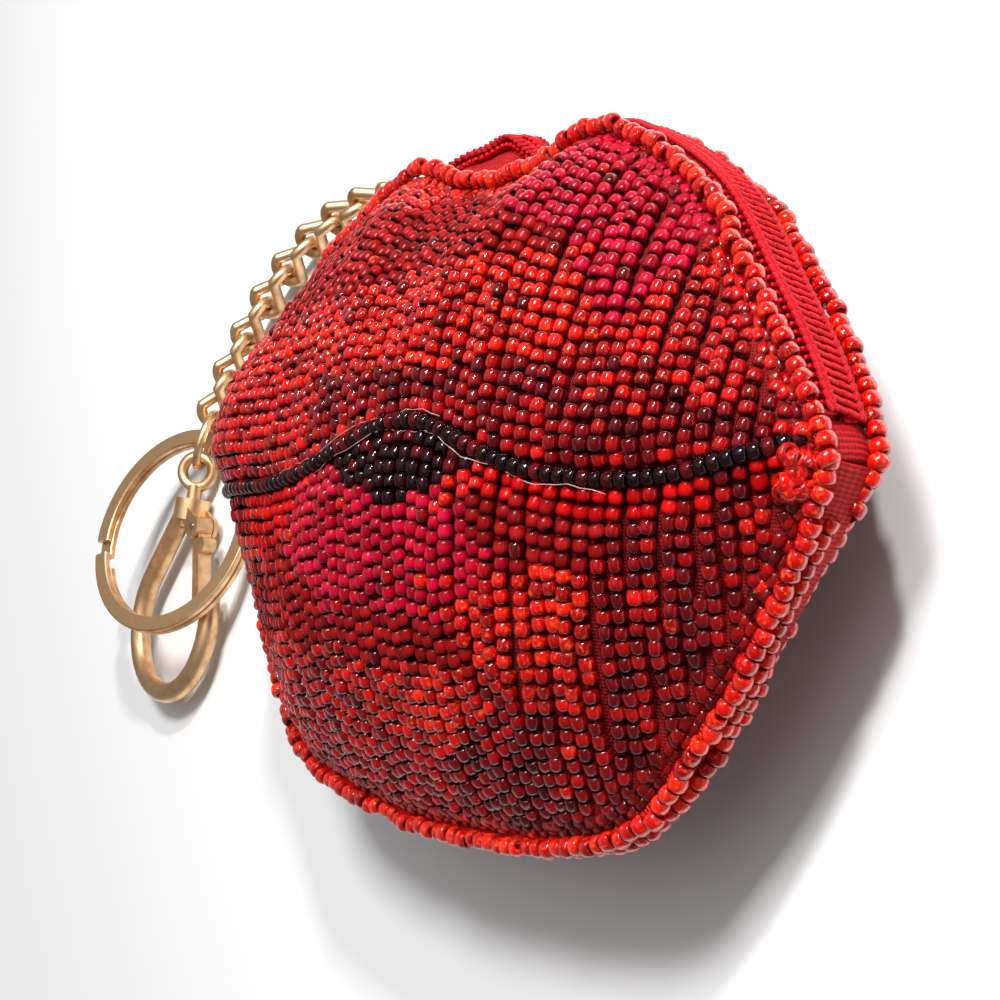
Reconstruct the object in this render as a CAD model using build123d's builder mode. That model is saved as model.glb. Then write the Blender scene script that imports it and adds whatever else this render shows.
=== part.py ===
"""A beaded, lip-shaped coin purse with a zip, a curb chain, a split key ring and a swivel clasp.

The purse lies on its back. +Z is out of the front panel, +X towards the right mouth corner, +Y towards
the zip edge. The origin is the middle of the flat patch on which the back panel rests. Millimetres.
"""
from build123d import *
from math import acos, atan2, cos, hypot, pi, radians, sin, sqrt
import os

os.makedirs("parts", exist_ok=True)

# ---- driving dimensions: the outline, taken at the middle of the edge piping ----
half_width = 56.0          # mouth corners at x = +-half_width, y = 0
slope_r = 71.7             # long convex slope from a mouth corner to a peak
peak_r = 11.0              # each peak of the upper lip
peak_x, peak_y = 14.2, 26.6
bow_y = 34.0               # lowest point of the dip between the peaks
side_r = 87.0              # side of the lower lip
bend_r = 19.0              # lower bend
bend_x = 22.0
bottom_r = 110.0           # bottom edge
bottom_y = -41.5

# ---- driving dimensions: thickness of the purse and its layers ----
mid_z = 17.0               # height of the zip's middle plane
upper_rim = 3.5            # from that plane to the front panel's edge, at the mouth corners
upper_tilt = 4.6           # degrees by which the upper lips' edges spread towards the peaks
lower_rim = 1.3            # the same distance along the lower edge
rise_upper = 16.8          # how far the upper lip puffs out of its edge plane
rise_lower = 19.0
puff_power = 0.85
piping_r = 1.05            # strand of edge beads
bead_layer = 1.6
padding_layer = 1.8
lining_layer = 0.5
skin_gap = 0.05
cloth_inset = 1.15         # beaded cloth, in from the middle of the piping
rest_cut = [0.0, 1.65, 3.5, 4.05]   # lowest z of the back's bead layer, padding, lining and room

# ---- mouth line and front opening ----
mouth_hinge_z = mid_z + 14.0
mouth_gap = 0.5
mouth_draft = 27.0         # lean of the flap's lower wall, in degrees
strand_pitch = 1.75

# ---- zip ----
tape_inset, tape_t = 1.2, 0.6
coil_z = (0.4, 2.6)        # one half of the coil, from the middle plane
coil_low, coil_high = 1.1, -0.5      # insets of its two faces
slider_from, slider_to = 141.5, 147.5    # degrees along the left slope
plate_t = 0.9
slider_half = 3.2

# ---- chain, key ring and clasp ----
chain_wire = 0.9           # wire radius
link_pitch = 7.3
link_half = 3.3
chain_z = 3.6
ring_r, ring_band, ring_turn = 17.5, 2.6, 1.15   # key ring: outer radius, width and height of one turn
ring_normal = Vector(0.25, 0.20, 0.947)          # the key ring leans on the clasp
end_ring_r, end_ring_lean = 4.6, 38.0
loop_r, clasp_wire = 12.0, 1.7


def unit(a, b):
    length = hypot(b[0] - a[0], b[1] - a[1])
    return ((b[0] - a[0]) / length, (b[1] - a[1]) / length)


def along(centre, r, direction):
    return (centre[0] + r * direction[0], centre[1] + r * direction[1])


def inner_tangent_centre(point, r, other, other_r, side):
    """Centre of the circle of radius r through point that holds the circle (other, other_r), touching it."""
    gap = hypot(other[0] - point[0], other[1] - point[1])
    a = (r ** 2 - (r - other_r) ** 2 + gap ** 2) / (2 * gap)
    h = sqrt(r ** 2 - a ** 2)
    ux, uy = unit(point, other)
    return (point[0] + a * ux - side * h * uy, point[1] + a * uy + side * h * ux)


# ---- outline worked out from the driving dimensions, right half ----
corner = (half_width, 0.0)
peak = (peak_x, peak_y)
bow_r = (peak_x ** 2 + (bow_y - peak_y) ** 2 - peak_r ** 2) / (2 * (peak_r - bow_y + peak_y))
bow = (0.0, bow_y + bow_r)
slope = inner_tangent_centre(corner, slope_r, peak, peak_r, 1)
bottom = (0.0, bottom_y + bottom_r)
bend = (bend_x, bottom[1] - sqrt((bottom_r - bend_r) ** 2 - bend_x ** 2))
side = inner_tangent_centre(corner, side_r, bend, bend_r, -1)
slope_dir, bow_dir = unit(slope, peak), unit(peak, bow)
side_dir, bottom_dir = unit(side, bend), unit(bottom, bend)


def mirrored(p):
    return (-p[0], p[1])


def arc(centre, r, a, b):
    """Arc about centre from a to b, by its middle point."""
    mid = along(centre, r, unit(centre, ((a[0] + b[0]) / 2, (a[1] + b[1]) / 2)))
    return ThreePointArc(a, mid, b)


def upper_points(inset, start_y):
    """The upper edge's joints from the right end to the left end, moved in by inset."""
    r = slope_r - inset
    end = (slope[0] + sqrt(r ** 2 - (start_y - slope[1]) ** 2), start_y)
    return [end, along(peak, peak_r - inset, slope_dir), along(peak, peak_r - inset, bow_dir)]


def upper_edge(inset, start_y=0.0):
    """Draws the upper edge in the BuildLine that is open."""
    end, a, b = upper_points(inset, start_y)
    arc(slope, slope_r - inset, end, a)
    arc(peak, peak_r - inset, a, b)
    arc(bow, bow_r + inset, b, mirrored(b))
    arc(mirrored(peak), peak_r - inset, mirrored(b), mirrored(a))
    arc(mirrored(slope), slope_r - inset, mirrored(a), mirrored(end))


def lower_edge(inset, start_y=0.0):
    """Draws the lower edge from the left end to the right end in the BuildLine that is open."""
    r = side_r - inset
    end = (side[0] + sqrt(r ** 2 - (start_y - side[1]) ** 2), start_y)
    a, b = along(bend, bend_r - inset, side_dir), along(bend, bend_r - inset, bottom_dir)
    arc(mirrored(side), r, mirrored(end), mirrored(a))
    arc(mirrored(bend), bend_r - inset, mirrored(a), mirrored(b))
    arc(bottom, bottom_r - inset, mirrored(b), b)
    arc(bend, bend_r - inset, b, a)
    arc(side, r, a, end)


def half_lips(inset, upper):
    """Flat face of the upper or the lower half of the lips, closed along y = 0."""
    with BuildSketch() as half:
        with BuildLine():
            (upper_edge if upper else lower_edge)(inset)
            reach = sqrt((slope_r - inset) ** 2 - slope[1] ** 2) + slope[0] if upper else \
                sqrt((side_r - inset) ** 2 - side[1] ** 2) + side[0]
            Line((-reach, 0), (reach, 0))
        make_face()
    return half.sketch


def puff(half, plane, rise):
    """A half lip that puffs out of its edge plane: a smooth loft of shrinking outlines."""
    with BuildPart() as dome:
        for share in (1.0, 0.94, 0.82, 0.66, 0.46, 0.22):
            height = rise * (1 - share ** 2) ** puff_power
            with BuildSketch(plane.offset(height)):
                add(scale(half, by=share, mode=Mode.PRIVATE))
        loft()
    return dome.part


def upper_plane(front):
    """Edge plane of an upper lip: it spreads from the zip's middle plane towards the peaks."""
    s = 1 if front else -1
    tilt = radians(upper_tilt)
    return Plane((0, 0, mid_z + s * upper_rim), x_dir=(1, 0, 0), z_dir=(0, -sin(tilt), s * cos(tilt)))


def lower_plane(front):
    s = 1 if front else -1
    return Plane((0, 0, mid_z + s * lower_rim), x_dir=(1, 0, 0), z_dir=(0, 0, s))


def flipped(face, front):
    """On the back the plane's own Y runs the other way, so the outline is mirrored."""
    return face if front else mirror(face, about=Plane.XZ, mode=Mode.PRIVATE)


def lip_solid(front, upper, inset, shrink):
    plane = upper_plane(front) if upper else lower_plane(front)
    rise = (rise_upper if upper else rise_lower) - shrink
    return puff(flipped(half_lips(inset, upper), front), plane, rise)


layer_insets = [cloth_inset]
for layer in (bead_layer, padding_layer, lining_layer):
    layer_insets.append(layer_insets[-1] + layer + skin_gap)
shrinks = [i - cloth_inset for i in layer_insets]
layer_names = ["beaded_panel", "padding", "lining"]
made = []


def keep(part, name):
    """Labels a finished piece and writes it."""
    part.label = name
    export_step(part, f"parts/{name}.step")
    made.append(part)


def mouth_mask(shift):
    """All that lies above the mouth's split. Past the hinge the flap's wall leans back, to let it turn."""
    far, deep, high = 120.0, 60.0, 30.0
    lean = high * sin(radians(mouth_draft)) / cos(radians(mouth_draft))
    with BuildPart() as mask:
        with BuildSketch(Plane.XY.offset(mouth_hinge_z)):
            with Locations((0, shift)):
                Rectangle(2 * far, far, align=(Align.CENTER, Align.MIN))
        extrude(amount=-deep)
        with BuildSketch(Plane.YZ.offset(-far)):
            with BuildLine():
                Polyline((shift, mouth_hinge_z), (far, mouth_hinge_z), (far, mouth_hinge_z + high),
                         (shift + lean, mouth_hinge_z + high), close=True)
            make_face()
        extrude(amount=2 * far)
    return mask.part


# ---- the shell layers: bead cloth, padding and lining of back, lower lip and upper lip ----
upper_mask = mouth_mask(mouth_gap)
front_upper = [lip_solid(True, True, i, s) for i, s in zip(layer_insets, shrinks)]
front_lower = [lip_solid(True, False, i, s) for i, s in zip(layer_insets, shrinks)]
back_solids = []
for i, s, low in zip(layer_insets, shrinks, rest_cut):
    with BuildPart() as whole_back:
        add(lip_solid(False, True, i, s))
        add(lip_solid(False, False, i, s))
        split(bisect_by=Plane.XY.offset(low), keep=Keep.TOP)
    back_solids.append(whole_back.part)

for n, name in enumerate(layer_names):
    with BuildPart() as back_layer:
        add(back_solids[n])
        add(back_solids[n + 1], mode=Mode.SUBTRACT)
    keep(back_layer.part, f"back_{name}")
    with BuildPart() as lower_layer:
        add(front_lower[n])
        add(front_lower[n + 1], mode=Mode.SUBTRACT)
    keep(lower_layer.part, f"lower_lip_{name}")
    with BuildPart() as upper_layer:
        add(front_upper[n])
        add(front_upper[n + 1], mode=Mode.SUBTRACT)
        add(upper_mask, mode=Mode.INTERSECT)
    keep(upper_layer.part, f"upper_lip_{name}")


# ---- edge piping: one strand of beads round the front panel's edge and one round the back's ----
def strand_along(plane, edge, start_y):
    with BuildPart() as strand:
        with BuildLine(plane) as path:
            edge(0.0, start_y)
        with BuildSketch(Plane(path.line @ 0, z_dir=path.line % 0)):
            Circle(piping_r)
        sweep(path=path.line)
    return strand.part


corner_gap = 1.2
for edge, plane, start_y, words in ((upper_edge, upper_plane(True), corner_gap, ("upper_lip", "back_upper")),
                                    (lower_edge, lower_plane(True), -0.2, ("lower_lip", "back_lower"))):
    front_strand = strand_along(plane, edge, start_y)
    keep(front_strand, f"{words[0]}_edge_piping")
    keep(mirror(front_strand, about=Plane.XY.offset(mid_z)), f"{words[1]}_edge_piping")


# ---- zip tapes, coil halves and end patches ----
# The front half of the zip is cut where the open slider stands: its far end stays with the purse.
left_slope = mirrored(slope)


def sector(r_in, r_out, a, b):
    """Part of a flat ring about the left slope's centre, from angle a to angle b in degrees."""
    def at(r, angle):
        return along(left_slope, r, (cos(radians(angle)), sin(radians(angle))))
    with BuildSketch() as piece:
        with BuildLine():
            ThreePointArc(at(r_in, a), at(r_in, (a + b) / 2), at(r_in, b))
            Line(at(r_in, b), at(r_out, b))
            ThreePointArc(at(r_out, b), at(r_out, (a + b) / 2), at(r_out, a))
            Line(at(r_out, a), at(r_in, a))
        make_face()
    return piece.sketch


def edge_band(edge, outer_inset, inner_inset, start_y):
    """Flat strip between two insets of an edge."""
    with BuildSketch() as band:
        with BuildLine() as outer:
            edge(outer_inset, start_y)
            edge(inner_inset, start_y)
            for s in (1, -1):
                if edge is upper_edge:
                    ends = [slope[0] + sqrt((slope_r - i) ** 2 - (start_y - slope[1]) ** 2)
                            for i in (outer_inset, inner_inset)]
                else:
                    ends = [side[0] + sqrt((side_r - i) ** 2 - (start_y - side[1]) ** 2)
                            for i in (outer_inset, inner_inset)]
                Line((s * ends[0], start_y), (s * ends[1], start_y))
        make_face()
    return band.sketch


tape_start, coil_start = 3.0, 4.0
zip_cut, zip_cut_gap, zip_end_angle = slider_from - 0.7, 0.25, 170.0
tape_band = edge_band(upper_edge, tape_inset, tape_inset + tape_t, tape_start)
coil_band = edge_band(upper_edge, coil_high, coil_low, coil_start)
for front, word in ((True, "front"), (False, "back")):
    s = 1 if front else -1
    with BuildPart() as tape:
        with BuildSketch(Plane.XY.offset(mid_z + s * coil_z[0])):
            add(tape_band)
        extrude(amount=s * 9)
        split(bisect_by=upper_plane(front).offset(-skin_gap), keep=Keep.BOTTOM)
    with BuildPart() as coil:
        with BuildSketch(Plane.XY.offset(mid_z + s * coil_z[0])):
            add(coil_band)
        extrude(amount=s * (coil_z[1] - coil_z[0]))
    for piece, kind in ((tape.part, "zip_tape"), (coil.part, "zip_coil")):
        if not front:
            keep(piece, f"{kind}_back")
            continue
        for name, first, mode in ((f"{kind}_front", zip_cut - zip_cut_gap, Mode.SUBTRACT),
                                  (f"{kind}_front_end", zip_cut, Mode.INTERSECT)):
            with BuildPart() as half_zip:
                add(piece)
                with BuildSketch(Plane.XY.offset(mid_z - slider_half)):
                    add(sector(slope_r - 8, slope_r + 4, first, zip_end_angle))
                extrude(amount=6 * slider_half, mode=mode)
            keep(half_zip.part, name)

patch_low, patch_high, patch_z = 0.1, 2.7, 3.1
corner_x = slope[0] + sqrt(slope_r ** 2 - slope[1] ** 2)
for s, word in ((1, "right"), (-1, "left")):
    with BuildPart() as patch:
        with BuildSketch(Plane.XY.offset(mid_z)):
            add(edge_band(upper_edge, 0.9, 2.4, patch_low))
            with Locations((s * corner_x, (patch_low + patch_high) / 2)):
                Rectangle(20, patch_high - patch_low, mode=Mode.INTERSECT)
        extrude(amount=patch_z, both=True)
    keep(patch.part, f"zip_end_patch_{word}")

with BuildPart() as allowance:
    with BuildSketch(Plane.XY.offset(mid_z)):
        add(edge_band(lower_edge, 1.2, 4.6, -0.3))
    extrude(amount=lower_rim - skin_gap, both=True)
keep(allowance.part, "bottom_seam_allowance")


# ---- mouth line: a strand of separate beads along the top of the lower lip ----
def mouth_y(x):
    return -1.6 - 2.6 * sin(pi * x / half_width) ** 2


def lower_lip_z(x, y):
    """Height of the lower lip's surface near the mouth line."""
    if abs(y) > 0.8 * abs(x):
        share = abs(y) / abs(bottom_y)
    else:
        length = hypot(x, y)
        ux, uy = abs(x) / length, y / length
        r = side_r - cloth_inset
        dot = ux * side[0] + uy * side[1]
        share = length / (dot + sqrt(dot ** 2 - (side[0] ** 2 + side[1] ** 2 - r ** 2)))
    return mid_z + lower_rim + rise_lower * (1 - min(share, 1) ** 2) ** puff_power


strand_end, strand_lift = 51.5, 0.45
spots = []
x = -strand_end
while x <= strand_end:
    here = Vector(x, mouth_y(x), lower_lip_z(x, mouth_y(x)) + piping_r + strand_lift)
    ahead_x = x + 0.2
    ahead = Vector(ahead_x, mouth_y(ahead_x), lower_lip_z(ahead_x, mouth_y(ahead_x)) + piping_r + strand_lift)
    direction = (ahead - here).normalized()
    spots.append(Plane(here, z_dir=direction).location)
    x += strand_pitch * direction.X
with BuildPart() as strand:
    with Locations(*spots):
        Cylinder(piping_r, strand_pitch - 0.4)
keep(strand.part, "mouth_line_beads")


# ---- zip slider on the left slope, and its pull ----
slider_mid = (slider_from + slider_to) / 2
plate_low = slope_r - coil_high + 0.25
under_high = slope_r - tape_inset - tape_t - 0.25
flange_low = slope_r - tape_inset + 0.3
with BuildPart() as slider:
    with BuildSketch(Plane.XY.offset(mid_z)):
        add(sector(plate_low, plate_low + plate_t, slider_from, slider_to))
        add(sector(under_high - plate_t, under_high, slider_from, slider_to))
    extrude(amount=slider_half, both=True)
    with BuildSketch(Plane.XY.offset(mid_z)):
        add(sector(under_high - plate_t, plate_low + plate_t, slider_mid - 0.9, slider_mid + 0.9))
    extrude(amount=coil_z[0] - 0.12, both=True)
    for s in (1, -1):
        with BuildSketch(Plane.XY.offset(mid_z + s * (slider_half - 0.4))):
            add(sector(flange_low, plate_low + plate_t, slider_from, slider_to))
        extrude(amount=s * 0.4)
    lug_r = plate_low + plate_t + 1.3
    for s in (1, -1):
        with BuildSketch(Plane.XY.offset(mid_z + s * 1.3)):
            add(sector(plate_low + plate_t - 0.2, lug_r + 1.1, slider_mid - 1.2, slider_mid + 1.2))
        extrude(amount=s * 0.8)
    pin_at = along(left_slope, lug_r, (cos(radians(slider_mid)), sin(radians(slider_mid))))
    with BuildSketch(Plane((pin_at[0], pin_at[1], mid_z))):
        Circle(0.5)
    extrude(amount=1.6, both=True)
keep(slider.part, "zip_slider")

pull_heading = slider_mid - 90 - 4
pull_x = Vector(cos(radians(pull_heading)), sin(radians(pull_heading)), 0)
pull_plane = Plane((pin_at[0], pin_at[1], mid_z), x_dir=pull_x, z_dir=(0, 0, 1))
pull_long, pull_width = 19.0, 4.6
with BuildPart() as pull:
    with BuildSketch(pull_plane):
        Circle(1.1)
        Circle(0.58, mode=Mode.SUBTRACT)
    extrude(amount=0.95, both=True)
    with BuildSketch(pull_plane):
        with Locations((3.2, 0)):
            Rectangle(4.9, 0.9)
    extrude(amount=0.95, both=True)
    flat = Plane(pull_plane.origin, x_dir=pull_x, z_dir=pull_x.cross(Vector(0, 0, 1)))
    with BuildSketch(flat):
        with Locations((5.2 + (pull_long - 5.2) / 2, 0)):
            SlotOverall(pull_long - 5.2, pull_width)
        with Locations((pull_long - 2.3, 0)):
            Circle(1.0, mode=Mode.SUBTRACT)
    extrude(amount=0.45, both=True)
keep(pull.part, "zip_pull")


# ---- hang tab: a fabric loop sewn to the back under the left slope, which holds a D-ring ----
tab_angle = 122.0
tab_edge = along(left_slope, slope_r, (cos(radians(tab_angle)), sin(radians(tab_angle))))
tab_out = Vector(cos(radians(tab_angle)), sin(radians(tab_angle)), 0)
tab_width = 6.0
tab_section = Plane((tab_edge[0], tab_edge[1], 0), x_dir=tab_out, z_dir=tab_out.cross(Vector(0, 0, 1)))
bar_out, dring_wire, dring_r = 1.6, 0.7, 5.0
with BuildPart() as hang_tab:
    with BuildSketch(tab_section):
        with BuildLine():
            Polyline((-6.4, 5.3), (-1.0, 4.3), (0.4, chain_z + 0.55), (0.4, chain_z - 0.55), (-1.4, 3.2),
                     (-6.4, 4.1), close=True)
        make_face()
        with Locations((bar_out, chain_z)):
            Circle(dring_wire + 1.0)
            Circle(dring_wire + 0.2, mode=Mode.SUBTRACT)
    extrude(amount=tab_width / 2, both=True)
keep(hang_tab.part, "hang_tab")

dring_at = (tab_edge[0] + bar_out * tab_out.X, tab_edge[1] + bar_out * tab_out.Y, chain_z)
dring_plane = Plane(dring_at, x_dir=tab_out, z_dir=(0, 0, 1))
with BuildPart() as d_ring_flat:
    with BuildSketch(Plane.YZ):
        with Locations((-dring_r, 0)):
            Circle(dring_wire)
    revolve(axis=Axis.Z, revolution_arc=180)
    with BuildSketch(Plane.XZ.offset(-dring_r)):
        Circle(dring_wire)
    extrude(amount=2 * dring_r)
    with Locations((0, dring_r, 0), (0, -dring_r, 0)):
        Sphere(dring_wire)
keep(dring_plane.location * d_ring_flat.part, "d_ring")

# ---- curb chain ----
headings = [148.0, 159.0, 170.0, 181.0, 192.0, 203.0, 213.0, 222.0, 230.0, 236.0, 240.0]
link_end_r = link_half - chain_wire       # middle of the wire at a link's round end
link_twist = -52.0
play = 0.1                                # slack where two links meet
contact = chain_wire + play / 2


def level(heading):
    """Level unit vector at an angle from +X."""
    return Vector(cos(radians(heading)), sin(radians(heading)), 0)


pivots = [Vector(*dring_at) + level(headings[0]) * (dring_r - dring_wire - play / 2)]
for heading in headings:
    pivots.append(pivots[-1] + level(heading) * link_pitch)
half_straight = link_pitch / 2 + contact - link_end_r


# A twisted oval link along X: a half ring leaning each way, joined by two straight sides.
with BuildPart() as link:
    for s in (1, -1):
        lean = Vector(0, cos(radians(s * link_twist)), sin(radians(s * link_twist)))
        centre = Vector(s * half_straight, 0, 0)
        with BuildSketch(Plane(centre, x_dir=lean, z_dir=(s, 0, 0))):
            with Locations((-link_end_r, 0)):
                Circle(chain_wire)
        axis_dir = Vector(s, 0, 0).cross(lean)
        revolve(axis=Axis(centre, axis_dir), revolution_arc=180)
    for t in (1, -1):
        a, b = (Vector(s * half_straight, t * link_end_r * cos(radians(s * link_twist)),
                       t * link_end_r * sin(radians(s * link_twist))) for s in (-1, 1))
        with BuildSketch(Plane(a, z_dir=b - a)):
            Circle(chain_wire)
        extrude(amount=(b - a).length)
        with Locations(tuple(a), tuple(b)):
            Sphere(chain_wire)


for n, heading in enumerate(headings):
    middle = (pivots[n] + pivots[n + 1]) * 0.5
    keep(Location(tuple(middle), (0, 0, heading)) * link.part, f"chain_link_{n + 1:02d}")

# ---- end ring: a leaning jump ring that joins the chain, the key ring and the clasp ----
end_heading = 252.0
end_at = pivots[-1] + level(end_heading) * (end_ring_r - dring_wire - play / 2)
end_side = level(end_heading + 90) * cos(radians(end_ring_lean)) + Vector(0, 0, sin(radians(end_ring_lean)))
end_plane = Plane(end_at, x_dir=end_side, z_dir=end_side.cross(level(end_heading)))


def hoop(r, wire):
    with BuildPart() as ring:
        with BuildSketch(Plane.XZ):
            with Locations((r, 0)):
                Circle(wire)
        revolve(axis=Axis.Z)
    return ring.part


keep(end_plane.location * hoop(end_ring_r, dring_wire), "end_ring")

# ---- key ring: two flat turns of spring wire, joined by a short step ----
step_angle = 9.0
with BuildPart() as key_ring_flat:
    for s, start in ((-1, step_angle), (1, 0.0)):
        with BuildSketch(Plane((0, 0, 0), x_dir=level(start), z_dir=level(start - 90))):
            with Locations((ring_r - ring_band / 2, s * ring_turn / 2)):
                RectangleRounded(ring_band, ring_turn - 0.06, 0.3)
        revolve(axis=Axis.Z, revolution_arc=360 - step_angle)
    with BuildSketch(Plane((0, 0, 0), x_dir=level(-1), z_dir=level(-91))):
        with Locations((ring_r - ring_band / 2, 0)):
            RectangleRounded(ring_band - 0.1, 2 * ring_turn - 0.2, 0.3)
    revolve(axis=Axis.Z, revolution_arc=2)
ring_top = Vector(end_at.X - 0.2, end_at.Y + 0.2, chain_z + 0.5)
ring_up = (Vector(0, 1, 0) - ring_normal * ring_normal.Y).normalized()
ring_at = ring_top - ring_up * (ring_r - ring_band / 2)
key_ring_plane = Plane(ring_at, x_dir=ring_up.cross(ring_normal), z_dir=ring_normal)
keep(key_ring_plane.location * Rot(0, 0, 200) * key_ring_flat.part, "key_ring")

# ---- swivel clasp; worked out along +X from the eye's centre, with +Y on the gate's side ----
clasp_heading = 268.0
eye_r, eye_wire, post_r = 2.6, 0.9, 1.2
collar_from, collar_to, collar_r = 4.7, 8.2, 2.9
clasp_z = 3.5
eye_at = end_at + level(end_heading) * (end_ring_r - dring_wire - eye_wire - play + eye_r)
clasp_frame = Location((eye_at.X, eye_at.Y, clasp_z), (0, 0, clasp_heading))
with BuildPart() as swivel:
    with BuildSketch(Plane.XY):
        with Locations((eye_r, 0)):
            Circle(eye_wire)
    revolve(axis=Axis.Y)
    with BuildSketch(Plane.YZ.offset(eye_r - 0.3)):
        Circle(post_r)
    extrude(amount=collar_to + 0.4 - eye_r)
    with BuildSketch(Plane.YZ.offset(collar_to + 0.1)):
        Circle(post_r + 0.8)
    extrude(amount=1.1)
eye_lean = 48.0
keep(clasp_frame * Rot(eye_lean, 0, 0) * swivel.part, "clasp_swivel")

loop_at = (25.0, 0.0)
arm_from = (6.4, -2.0)
gate_pin_at = (9.2, 4.6)
tip_angle = 112.0
reach = hypot(loop_at[0] - arm_from[0], loop_at[1] - arm_from[1])
touch_angle = atan2(arm_from[1] - loop_at[1], arm_from[0] - loop_at[0]) + acos(loop_r / reach)


def on_loop(angle, r=loop_r):
    return (loop_at[0] + r * cos(angle), loop_at[1] + r * sin(angle))


ear_z = (1.25, 1.95)
with BuildPart() as clasp_body:
    with BuildLine() as arm:
        touch = on_loop(touch_angle)
        Line(arm_from, touch)
        tip = radians(tip_angle)
        sweep_to = tip if tip > touch_angle else tip + 2 * pi
        ThreePointArc(touch, on_loop((touch_angle + sweep_to) / 2), on_loop(sweep_to))
    with BuildSketch(Plane(arm.line @ 0, z_dir=arm.line % 0)):
        Circle(clasp_wire)
    sweep(path=arm.line)
    with Locations(on_loop(sweep_to)):
        Sphere(clasp_wire)
    with BuildSketch(Plane.YZ.offset(collar_from)):
        Circle(collar_r)
    extrude(amount=collar_to - collar_from)
    for s in (1, -1):
        with BuildSketch(Plane.XY.offset(s * ear_z[0])):
            with BuildLine():
                Polyline((5.0, 0), (collar_to, 0), (gate_pin_at[0] + 1.5, gate_pin_at[1]),
                         (gate_pin_at[0] - 1.2, gate_pin_at[1] + 1.2), close=True)
            make_face()
            with Locations(gate_pin_at):
                Circle(1.9)
        extrude(amount=s * (ear_z[1] - ear_z[0]))
    with BuildSketch(Plane.YZ.offset(collar_from - 1)):
        Circle(post_r + 0.06)
    extrude(amount=collar_to - collar_from + 1, mode=Mode.SUBTRACT)
    with BuildSketch(Plane.YZ.offset(collar_to)):
        Circle(post_r + 1.1)
    extrude(amount=1.5, mode=Mode.SUBTRACT)
    with BuildSketch(Plane.XY):
        with Locations(gate_pin_at):
            Circle(0.6)
    extrude(amount=4, both=True, mode=Mode.SUBTRACT)
keep(clasp_frame * clasp_body.part, "clasp_body")

with BuildPart() as gate_pin:
    with BuildSketch(Plane.XY):
        with Locations(gate_pin_at):
            Circle(0.6)
    extrude(amount=ear_z[1] + 0.15, both=True)
keep(clasp_frame * gate_pin.part, "clasp_gate_pin")

with BuildPart() as spring:
    for k in range(5):
        with BuildSketch(Plane.XY.offset(-1.0 + 0.42 * k)):
            with Locations(gate_pin_at):
                Circle(1.02)
                Circle(0.68, mode=Mode.SUBTRACT)
        extrude(amount=0.3)
keep(clasp_frame * spring.part, "clasp_gate_spring")

gate_tip = on_loop(sweep_to, loop_r - clasp_wire - 1.25)
gate_dir = unit(gate_pin_at, gate_tip)
gate_len = hypot(gate_tip[0] - gate_pin_at[0], gate_tip[1] - gate_pin_at[1])
gate_plane = Plane((gate_pin_at[0], gate_pin_at[1], 0), x_dir=(gate_dir[0], gate_dir[1], 0), z_dir=(0, 0, 1))
with BuildPart() as gate:
    with BuildSketch(gate_plane):
        with Locations((gate_len / 2, 0)):
            SlotOverall(gate_len + 2.0, 2.0)
        Circle(1.7)
        with Locations((3.4, 1.5)):
            Circle(1.3)
        Circle(1.12, mode=Mode.SUBTRACT)
    extrude(amount=1.15, both=True)
keep(clasp_frame * gate.part, "clasp_gate")
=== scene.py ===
"""Looks of the beaded lip-shaped coin purse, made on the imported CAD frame.

Shapes are worked out in millimetres and written to the meshes in metres, in the CAD's own frame.
"""

from math import atan2, cos, hypot, pi, radians, sin, sqrt

import bpy
import numpy as np
from mathutils import Matrix, Vector
from mathutils.bvhtree import BVHTree


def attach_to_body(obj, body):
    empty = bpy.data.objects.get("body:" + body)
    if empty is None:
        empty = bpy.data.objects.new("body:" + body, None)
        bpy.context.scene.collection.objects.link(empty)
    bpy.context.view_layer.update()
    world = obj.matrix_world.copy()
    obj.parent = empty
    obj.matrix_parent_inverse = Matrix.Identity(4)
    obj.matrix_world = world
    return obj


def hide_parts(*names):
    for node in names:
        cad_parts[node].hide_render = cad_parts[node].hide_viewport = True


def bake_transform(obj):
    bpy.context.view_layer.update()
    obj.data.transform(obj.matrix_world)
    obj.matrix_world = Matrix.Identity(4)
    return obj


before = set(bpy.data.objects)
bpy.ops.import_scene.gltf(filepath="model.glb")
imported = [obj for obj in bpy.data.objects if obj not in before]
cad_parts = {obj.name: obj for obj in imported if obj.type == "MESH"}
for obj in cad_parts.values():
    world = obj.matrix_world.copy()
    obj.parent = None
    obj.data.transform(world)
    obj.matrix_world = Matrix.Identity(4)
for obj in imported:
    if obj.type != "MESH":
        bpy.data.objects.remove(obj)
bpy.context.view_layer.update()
MM = 0.001
rng = np.random.default_rng(11)

# ---- camera, level with the right mouth corner and looking down on the purse ----
camera_at = np.array([171.22, -21.79, 142.81])
camera_right = np.array([0.6001, 0.1250, -0.7901])
camera_up = np.array([-0.0063, 0.9884, 0.1516])
camera_back = np.array([0.7999, -0.0860, 0.5939])
lens = bpy.data.cameras.new("camera")
lens.lens, lens.sensor_width, lens.clip_start = 65.4, 36.0, 0.005
camera = bpy.data.objects.new("camera", lens)
bpy.context.collection.objects.link(camera)
placing = np.column_stack([camera_right, camera_up, camera_back, camera_at * MM])
camera.matrix_world = Matrix([*placing.tolist(), (0, 0, 0, 1)])
bpy.context.scene.camera = camera

# ---- the outline, as in the CAD: middle of the edge piping ----
half_width, slope_r, peak_r, peak, bow_y = 56.0, 71.7, 11.0, (14.2, 26.6), 34.0
side_r, bend_r, bend_x, bottom_r, bottom_y = 87.0, 19.0, 22.0, 110.0, -41.5
mid_z, cloth_inset = 17.0, 1.15
crown_z, puff_power, left_bulge = 20.3, 0.85, 6.7
crease_depth, crease_width, rest_rounding = 0.9, 3.6, 1.5

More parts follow.
